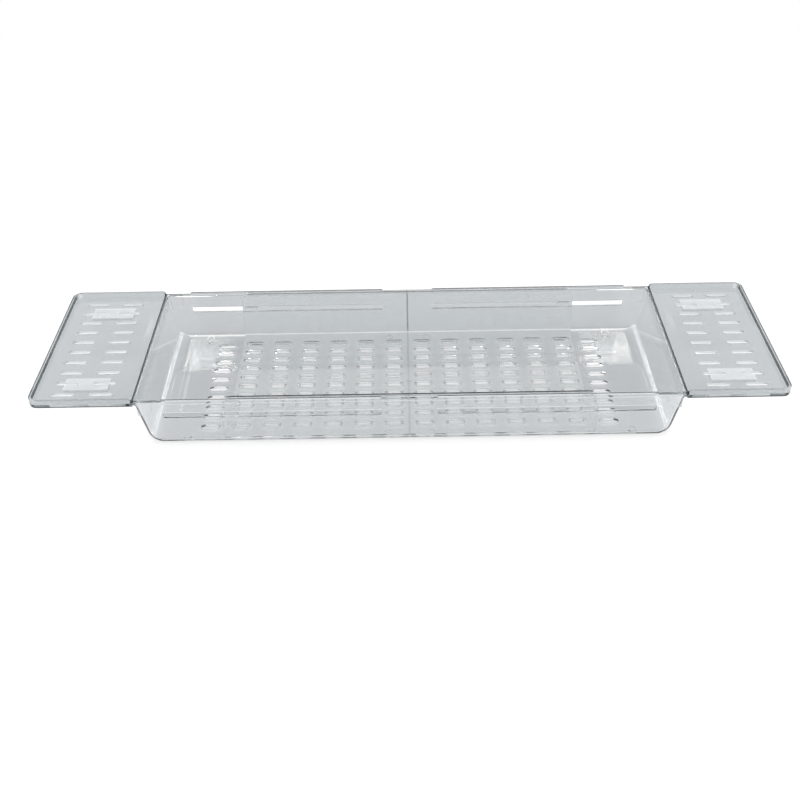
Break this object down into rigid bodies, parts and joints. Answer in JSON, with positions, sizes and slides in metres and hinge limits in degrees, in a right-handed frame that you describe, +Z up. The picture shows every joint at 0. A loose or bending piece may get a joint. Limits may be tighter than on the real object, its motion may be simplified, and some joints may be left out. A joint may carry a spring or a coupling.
{
  "type": "bath caddy",
  "caption": "Clear expandable bathtub caddy: a drained tray whose end shells, with slotted wing shelves, slide outwards so that the wings rest on the tub's rims.",
  "frame": {"origin": "middle of the caddy's footprint, pushed together, at the height of the feet's undersides", "axes": "+X along the caddy towards the right-hand wing, +Y towards the back long wall, +Z up"},
  "size_m": [0.672, 0.19, 0.0531],
  "materials": {
    "shell_plastic": "clear gloss",
    "tray_plastic": "clear gloss",
    "grip_pad": "milky matte"
  },
  "bodies": {
    "centre_tray": {"centre_tray": "tray_plastic"},
    "left_end": {"left_shell": "shell_plastic", "left_front_grip_pad": "grip_pad", "left_back_grip_pad": "grip_pad"},
    "right_end": {"right_shell": "shell_plastic", "right_front_grip_pad": "grip_pad", "right_back_grip_pad": "grip_pad"}
  },
  "joints": [
    {"name": "left_slide", "type": "slide", "parent": "centre_tray", "child": "left_end", "axis": [-1, 0, 0], "range_m": [0, 0.127]},
    {"name": "right_slide", "type": "slide", "parent": "centre_tray", "child": "right_end", "axis": [1, 0, 0], "range_m": [0, 0.127]}
  ]
}
